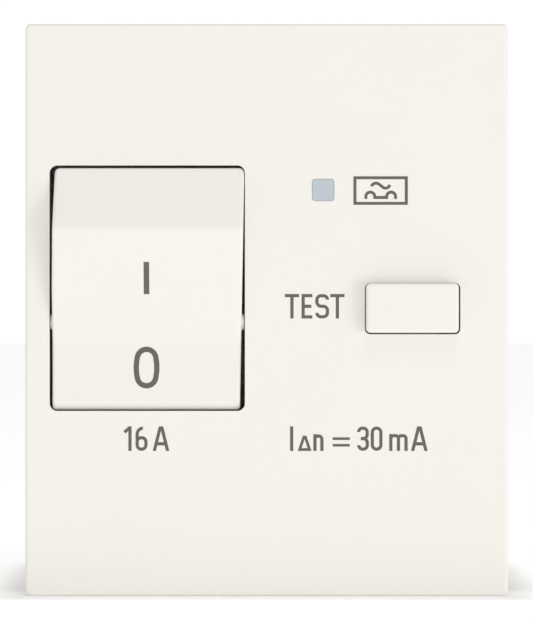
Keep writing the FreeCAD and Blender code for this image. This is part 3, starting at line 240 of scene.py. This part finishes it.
# metals: line is the width of the drawing marks, stretch draws them out along an axis
metalLooks = {
    "steel": {"colour": (186, 188, 190), "roughness": 0.34,
              "line": 0.06, "stretch": (1, 1, 0.05), "spread": 0.06, "bump": 0.3},
    "rivet_steel": {"colour": (196, 197, 198), "roughness": 0.3,
                    "line": 0.05, "stretch": (0.3, 1, 1), "spread": 0.05, "bump": 0.3},
    "spring_steel": {"colour": (150, 152, 156), "roughness": 0.28,
                     "line": 0.03, "stretch": (1, 0.1, 1), "spread": 0.08, "bump": 0.2},
    "copper": {"colour": (214, 132, 96), "roughness": 0.3,
               "line": 0.05, "stretch": (1, 1, 0.06), "spread": 0.08, "bump": 0.3},
    "brass": {"colour": (212, 182, 108), "roughness": 0.3,
              "line": 0.05, "stretch": (1, 0.06, 1), "spread": 0.06, "bump": 0.3},
    "contact_silver": {"colour": (226, 224, 220), "roughness": 0.32,
                       "line": 0.1, "stretch": (1, 1, 1), "spread": 0.04, "bump": 0.3},
}

# the groove colour is a darker copper between turns: painted shade
windingLook = {"colour": (168, 78, 38), "groove": (74, 28, 14), "turns": 44, "crownRoughness": 0.3,
               "grooveRoughness": 0.5, "bump": 0.8, "depth": 0.15, "metallic": 0.6, "coat": 0.6}


def enamelWire(name, look, centre):  # turns lie around the centre, along the front to back axis
    material, tree, shader = startMaterial(name)
    wound = add(tree, "Group", {"node_tree": woundWire}, Centre=centre, Turns=look["turns"])
    # the grooves between turns are darkened in colour: painted shade
    colour = tint(tree, wound.outputs["PaintedGrooveShade"], linear(*look["groove"]), linear(*look["colour"]))
    feed(tree, shader.inputs["Base Color"], colour)
    rough = between(tree, wound.outputs["Height"], look["grooveRoughness"], look["crownRoughness"])
    feed(tree, shader.inputs["Roughness"], rough)
    setBump(tree, shader, wound.outputs["Height"], look["bump"], look["depth"])
    shader.inputs["Metallic"].default_value = look["metallic"]
    shader.inputs["Coat Weight"].default_value = look["coat"]
    return material


# the board: tracks follow the edges of cells, whose size is in millimetres
boardLook = {"colour": (24, 88, 52), "trace": (46, 122, 70), "cell": 1.4, "track": 0.12, "grain": 0.2,
             "cloud": 5.0, "roughness": 0.35, "swing": 0.06, "bump": 0.5, "depth": 0.03}


def boardLacquer(name, look):
    material, tree, shader = startMaterial(name)
    place = add(tree, "TexCoord").outputs["Object"]
    cells = add(tree, "TexVoronoi", {"distance": "CHEBYCHEV", "feature": "DISTANCE_TO_EDGE"},
                Vector=place, Scale=1 / (look["cell"] * mm))
    track = reckon(tree, "LESS_THAN", cells.outputs["Distance"], look["track"])
    colour = tint(tree, track, linear(*look["colour"]), linear(*look["trace"]))
    feed(tree, shader.inputs["Base Color"], colour)
    grain = add(tree, "Group", {"node_tree": mouldGrain}, Grain_mm=look["grain"], Cloud_mm=look["cloud"])
    setRoughness(tree, shader, grain.outputs["Cloud"], look["roughness"], look["swing"])
    setBump(tree, shader, track, look["bump"], look["depth"])
    return material


clearSurface = {"cloud": 1.5, "spread": 0.03, "swing": 0.05, "bump": 0.1, "depth": 0.01, "ior": 1.49}
lensLook = {"colour": (208, 218, 226), "roughness": 0.22, "transmission": 0.2, "grain": 0.1}
lampLook = {"colour": (188, 196, 202), "roughness": 0.3, "transmission": 0.0, "grain": 0.1}


def clearPlastic(name, look):
    material, tree, shader = startMaterial(name)
    cloud = clearSurface["cloud"]
    grain = add(tree, "Group", {"node_tree": mouldGrain}, Grain_mm=look["grain"], Cloud_mm=cloud)
    dim, bright = colourPair(look["colour"], clearSurface["spread"])
    feed(tree, shader.inputs["Base Color"], tint(tree, grain.outputs["Cloud"], dim, bright))
    setRoughness(tree, shader, grain.outputs["Cloud"], look["roughness"], clearSurface["swing"])
    setBump(tree, shader, grain.outputs["Height"], clearSurface["bump"], clearSurface["depth"])
    shader.inputs["Transmission Weight"].default_value = look["transmission"]
    shader.inputs["IOR"].default_value = clearSurface["ior"]
    return material


lowest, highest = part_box("sensing_winding")
finishes = {slot: mouldedPlastic(slot + "Finish", look) for slot, look in plasticLooks.items()}
finishes.update({slot: workedMetal(slot + "Finish", look) for slot, look in metalLooks.items()})
finishes["enamel_copper"] = enamelWire("enamelCopperFinish", windingLook, tuple((lowest + highest) / 2))
finishes["board_green"] = boardLacquer("boardLacquerFinish", boardLook)
finishes["lens_clear"] = clearPlastic("lensFinish", lensLook)
finishes["lamp_red"] = clearPlastic("lampFinish", lampLook)

for node in nodes.values():
    for place in node.material_slots:
        place.material = finishes[place.material.name.split(".")[0]]
print("finishes laid on the nodes")


# printed marks: each stroke is a flat ribbon that a pen draws, laid on the surface behind it
bendStep = 10  # degrees for each facet of a bend


def penStroke(bm, start, heading, moves, width, lift=0.0):
    turn = math.radians(heading)
    ahead = Vector((math.cos(turn), 0, math.sin(turn)))
    at = Vector((start[0], -lift, start[1]))  # unlike lifts keep crossing strokes from coinciding
    side = Vector((-ahead.z, 0, ahead.x))  # to the left of the way the pen goes
    edge = bm.edges.new([bm.verts.new(at + side * width / 2), bm.verts.new(at - side * width / 2)])
    for move in moves:
        side = Vector((-ahead.z, 0, ahead.x))
        if isinstance(move, tuple):  # a bend: its radius and its angle, above nought to the left
            radius, angle = move
            centre = at + side * math.copysign(radius, angle)
            facets = max(2, round(abs(angle) / bendStep))
            spun = bmesh.ops.spin(bm, geom=[edge, *edge.verts], cent=centre, axis=(0, -1, 0),
                                  angle=math.radians(angle), steps=facets)
            edge = next(g for g in spun["geom_last"] if isinstance(g, bmesh.types.BMEdge))
            bend = Matrix.Rotation(math.radians(angle), 3, (0, -1, 0))
            at, ahead = centre + bend @ (at - centre), bend @ ahead
        else:
            drawn = bmesh.ops.extrude_edge_only(bm, edges=[edge])["geom"]
            edge = next(g for g in drawn if isinstance(g, bmesh.types.BMEdge))
            moved = [g for g in drawn if isinstance(g, bmesh.types.BMVert)]
            bmesh.ops.translate(bm, verts=moved, vec=ahead * move)
            at = at + ahead * move


# marks for a height of 1: the pen's width, then for each stroke start across, start up, heading and moves
pen = 0.13
half = pen / 2
markStrokes = {
    "bar": (0.172, [(0.086, 0, 90, [1])]),
    "ring": (0.128, [(0.064, 0.5, 90, [(1.19, -12.81), (0.225, -154.38), (1.19, -25.62),
                                       (0.225, -154.38), (1.19, -12.81)])]),
    "I": (pen, [(half, 0, 90, [1])]),
    "T": (pen, [(0, 1 - half, 0, [0.58]), (0.29, 0, 90, [1 - pen])]),
    "E": (pen, [(half, 0, 90, [1]), (pen, 1 - half, 0, [0.31]), (pen, 0.5, 0, [0.27]),
                (pen, half, 0, [0.31])]),
    "S": (pen, [(0.5, 0.77, 90, [(0.16, 90), 0.1, (0.17, 90), 0.09, (0.17, 90), 0.09, (0.17, -90), 0.09,
                                 (0.17, -90), 0.1, (0.16, -90)])]),
    "1": (pen, [(0.259, 0, 90, [1]), (0.235, 0.94, 222, [0.27])]),
    "3": (pen, [(half, 0.77, 90, [(0.16, -90), 0.02, (0.17, -90), 0.09, (0.17, -90), 0.09]),
                (0.16, 0.5, 0, [0.09, (0.17, -90), 0.09, (0.17, -90), 0.02, (0.16, -90)])]),
    "6": (pen, [(half, 0.369, -90, [0.129, (0.17, 90), 0.018, (0.17, 90)] * 2),
                (half, 0.369, 90, [0.311, (0.25, -86)])]),
    "0": (pen, [(half, 0.245, 90, [0.51, (0.175, -180)] * 2)]),
    "A": (pen, [(0.02, -0.15, 76, [1.4]), (0.64, -0.15, 104, [1.4]), (0.13, 0.29, 0, [0.4])]),
    "delta": (0.112, [(0.025, -0.1, 71.5, [0.86]), (0.535, -0.1, 108.5, [0.86]),
                      (0.06, 0.056, 0, [0.44])]),
    "n": (pen, [(half, 0, 90, [0.68]), (half, 0.468, 90, [(0.142, -90), (0.142, -90), 0.468])]),
    "m": (pen, [(half, 0, 90, [0.69]), (half, 0.5, 90, [(0.12, -90), 0.07, (0.12, -90), 0.5]),
                (half + 0.31, 0.5, 90, [(0.12, -90), 0.07, (0.12, -90), 0.5])]),
    "=": (0.105, [(0, 0.23, 0, [0.7]), (0, 0.5, 0, [0.7])]),
}
trimmed = {"A": 1.0, "delta": 0.62}  # slanted strokes are cut level at the foot and at this height


def surfaceOf(name):
    mesh = nodes[name].data
    return BVHTree.FromPolygons([v.co for v in mesh.vertices], [p.vertices[:] for p in mesh.polygons])


surfaces = {name: surfaceOf(name) for name in ("front_cover", "rocker_lever")}
printLook = {"colour": (96, 95, 90), "roughness": 0.55,
             "grain": 0.1, "cloud": 1.2, "spread": 0.05, "bump": 0.3}
printInk = mouldedPlastic("printInk", printLook)
printSheet = {"proud": 0.012, "sunk": 0.008, "weld": 0.002, "lift": 0.004, "before": 50}  # millimetres


def finishMark(name, bm, node, body):
    bmesh.ops.remove_doubles(bm, verts=bm.verts, dist=printSheet["weld"] * mm)
    thickened = bmesh.ops.extrude_face_region(bm, geom=list(bm.faces), use_keep_orig=True)["geom"]
    fronts = {v for v in thickened if isinstance(v, bmesh.types.BMVert)}
    for vertex in bm.verts:  # the back lies a hair below the surface, the front a hair above it
        before = Vector((vertex.co.x, -printSheet["before"] * mm, vertex.co.z))
        hit = surfaces[node].ray_cast(before, Vector((0, 1, 0)))[0]
        vertex.co.y += hit.y + (-printSheet["proud"] if vertex in fronts else printSheet["sunk"]) * mm
    bmesh.ops.recalc_face_normals(bm, faces=bm.faces)
    mesh = bpy.data.meshes.new(name)
    bm.to_mesh(mesh)
    bm.free()
    mark = bpy.data.objects.new(name, mesh)
    bpy.context.collection.objects.link(mark)
    mesh.materials.append(printInk)
    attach(mark, body)


def printWords(name, letters, node, body):
    bm = bmesh.new()
    for letter, across, up, tall in letters:
        glyph = bmesh.new()
        width, strokes = markStrokes[letter]
        for step, (startAcross, startUp, heading, moves) in enumerate(strokes):
            lift = step * printSheet["lift"] / tall
            penStroke(glyph, (startAcross, startUp), heading, moves, width, lift)
        if letter in trimmed:
            for level, way in ((0.0, -1), (trimmed[letter], 1)):
                geometry = glyph.verts[:] + glyph.edges[:] + glyph.faces[:]
                bmesh.ops.bisect_plane(glyph, geom=geometry, plane_co=(0, 0, level),
                                       plane_no=(0, 0, way), clear_outer=True)
        grow = Matrix.Translation((across * mm, 0, up * mm)) @ Matrix.Scale(tall * mm, 4)
        bmesh.ops.transform(glyph, matrix=grow, verts=glyph.verts)
        spare = bpy.data.meshes.new("spare")
        glyph.to_mesh(spare)
        glyph.free()
        bm.from_mesh(spare)
        bpy.data.meshes.remove(spare)
    finishMark(name, bm, node, body)


# left edge, foot and height of each letter, in millimetres
capTall = 2.26
printWords("onMark", [("bar", -11.31, 1.43, 2.96)], "rocker_lever", "rocker")
printWords("offMark", [("ring", -12.29, -7.25, 3.83)], "rocker_lever", "rocker")
for name, foot, places in (
        ("testMark", -0.81, (("T", 1.67), ("E", 3.21), ("S", 4.47), ("T", 5.86))),
        ("currentMark", -13.02, (("1", -13.2), ("6", -12.1), ("A", -10.5))),
        ("tripMark", -13.02, (("I", 2.15), ("delta", 2.86), ("n", 4.3), ("=", 6.08), ("3", 8.33),
                              ("0", 9.59), ("m", 11.3), ("A", 13.33)))):
    letters = [(letter, across, foot, capTall) for letter, across in places]
    printWords(name, letters, "front_cover", "case")

# the type symbol: a framed sine wave above two half waves, in millimetres from its lower left corner
symbolLook = {"corner": (8.0, 9.68), "wide": 5.01, "tall": 2.63, "line": 0.27}
halfWave = [0.22, (0.41, -180), 0.22]


def printSymbol():
    wide, tall, line = symbolLook["wide"], symbolLook["tall"], symbolLook["line"]
    bm = bmesh.new()
    for step, (start, heading, moves) in enumerate((
            ((0, line / 2), 0, [wide]), ((0, tall - line / 2), 0, [wide]),
            ((line / 2, line), 90, [tall - 2 * line]), ((wide - line / 2, line), 90, [tall - 2 * line]),
            ((1.66, 1.7), 70, [(0.448, -108), 0.455, (0.4, 98), 0.12]),
            ((1.144, 0.54), 90, halfWave), ((2.099, 0.675), 0, [0.831]), ((3.065, 0.54), 90, halfWave))):
        penStroke(bm, start, heading, moves, line, step % 4 * printSheet["lift"])
    across, up = symbolLook["corner"]
    grow = Matrix.Translation((across * mm, 0, up * mm)) @ Matrix.Scale(mm, 4)
    bmesh.ops.transform(bm, matrix=grow, verts=bm.verts)
    finishMark("typeSymbol", bm, "front_cover", "case")


printSymbol()
print("marks printed")

# stage: a pale floor under the plate's lower edge and a white surround; size is in metres, and grain,
# cloud and reach, where the shadow painted on the floor around the part ends, are in millimetres;
# paintedShadowGlow is the floor's dimmer glow inside that painted shadow
stageLook = {"floor": (252, 252, 252), "spread": 0.005, "grain": 0.5, "cloud": 60.0, "roughness": 0.9,
             "paintedShadowGlow": 0.06, "glow": 0.31, "reach": 5.0, "surround": 0.66, "backdrop": 1.1, "size": 3.0}

# soft light from the right, with less from above and below; places and sizes in metres
softWhite = (1.0, 0.985, 0.96)
lightLooks = {
    "rightSoftbox": {"place": (0.75, -0.75, -0.22), "size": 0.6, "power": 2.3, "colour": softWhite},
    "topSoftbox": {"place": (0.1, -0.5, 0.8), "size": 0.5, "power": 1.15, "colour": softWhite},
    "lowSoftbox": {"place": (0.05, -0.34, -0.94), "size": 0.36, "power": 0.2, "colour": softWhite},
}


def paintedShadowFade(tree):  # painted shadow: 0 on the floor beside the part, 1 where the shadow painted on the floor ends
    away = add(tree, "TexCoord").outputs["Object"]
    middle, halfSize = (cadBox[1] + cadBox[0]) / 2, (cadBox[1] - cadBox[0]) / 2
    nought = (0, 0, 0)
    for operation, other in (("SUBTRACT", middle), ("ABSOLUTE", nought), ("SUBTRACT", halfSize),
                             ("MAXIMUM", nought)):
        step = add(tree, "VectorMath", {"operation": operation})
        feed(tree, step.inputs[0], away)
        feed(tree, step.inputs[1], other)
        away = step.outputs["Vector"]
    length = add(tree, "VectorMath", {"operation": "LENGTH"})
    feed(tree, length.inputs[0], away)
    return add(tree, "MapRange", {"interpolation_type": "SMOOTHSTEP"}, Value=length.outputs["Value"],
               From_Max=stageLook["reach"] * mm).outputs["Result"]


def makeFloor():
    bm = bmesh.new()
    bmesh.ops.create_grid(bm, x_segments=2, y_segments=2, size=stageLook["size"])
    bmesh.ops.translate(bm, verts=bm.verts, vec=(0, 0, cadBox[0].z))
    mesh = bpy.data.meshes.new("floor")
    bm.to_mesh(mesh)
    bm.free()
    floor = bpy.data.objects.new("floor", mesh)
    bpy.context.collection.objects.link(floor)
    material, tree, shader = startMaterial("floorPaint")
    grain = add(tree, "Group", {"node_tree": mouldGrain}, Grain_mm=stageLook["grain"],
                Cloud_mm=stageLook["cloud"])
    dim, bright = colourPair(stageLook["floor"], stageLook["spread"])
    paint = tint(tree, grain.outputs["Cloud"], dim, bright)
    feed(tree, shader.inputs["Base Color"], paint)
    feed(tree, shader.inputs["Emission Color"], paint)
    # the floor glows less beside the part: a painted shadow around its foot
    glow = between(tree, paintedShadowFade(tree), stageLook["paintedShadowGlow"], stageLook["glow"])
    feed(tree, shader.inputs["Emission Strength"], glow)
    shader.inputs["Roughness"].default_value = stageLook["roughness"]
    mesh.materials.append(material)
    floor.visible_shadow = False  # low light reaches the plate from below the floor's level


def makeSurround():
    world = bpy.data.worlds.new("studio")
    bpy.context.scene.world = world
    world.use_nodes = True
    tree = world.node_tree
    background = tree.nodes["Background"]
    background.inputs["Color"].default_value = (1, 1, 1, 1)
    seen = add(tree, "LightPath").outputs["Is Camera Ray"]
    strength = between(tree, seen, stageLook["surround"], stageLook["backdrop"])
    feed(tree, background.inputs["Strength"], strength)


def makeLight(name, look):
    lamp = bpy.data.lights.new(name, "AREA")
    lamp.shape, lamp.size, lamp.energy, lamp.color = "DISK", look["size"], look["power"], look["colour"]
    softbox = bpy.data.objects.new(name, lamp)
    softbox.location = look["place"]
    softbox.rotation_euler = (-softbox.location).to_track_quat("-Z", "Y").to_euler()
    bpy.context.collection.objects.link(softbox)


# camera: straight on to the plate, 57.19 mm of its plane filling the frame's height
cameraLook = {"lens": 250.0, "sensor": 36.0, "viewTall": 57.19, "across": -0.023, "up": -0.023,
              "plane": -7.0, "near": 0.01, "far": 20}


def makeCamera():
    data = bpy.data.cameras.new("camera")
    data.lens, data.sensor_width = cameraLook["lens"], cameraLook["sensor"]
    data.clip_start, data.clip_end = cameraLook["near"], cameraLook["far"]
    camera = bpy.data.objects.new("camera", data)
    away = cameraLook["viewTall"] * cameraLook["lens"] / cameraLook["sensor"]
    camera.location = [c * mm for c in (cameraLook["across"], cameraLook["plane"] - away, cameraLook["up"])]
    camera.rotation_euler = (math.radians(90), 0, 0)
    bpy.context.collection.objects.link(camera)
    bpy.context.scene.camera = camera


makeFloor()
makeSurround()
for name, look in lightLooks.items():
    makeLight(name, look)
makeCamera()
bpy.context.scene.view_settings.view_transform = "Standard"
print("stage set")
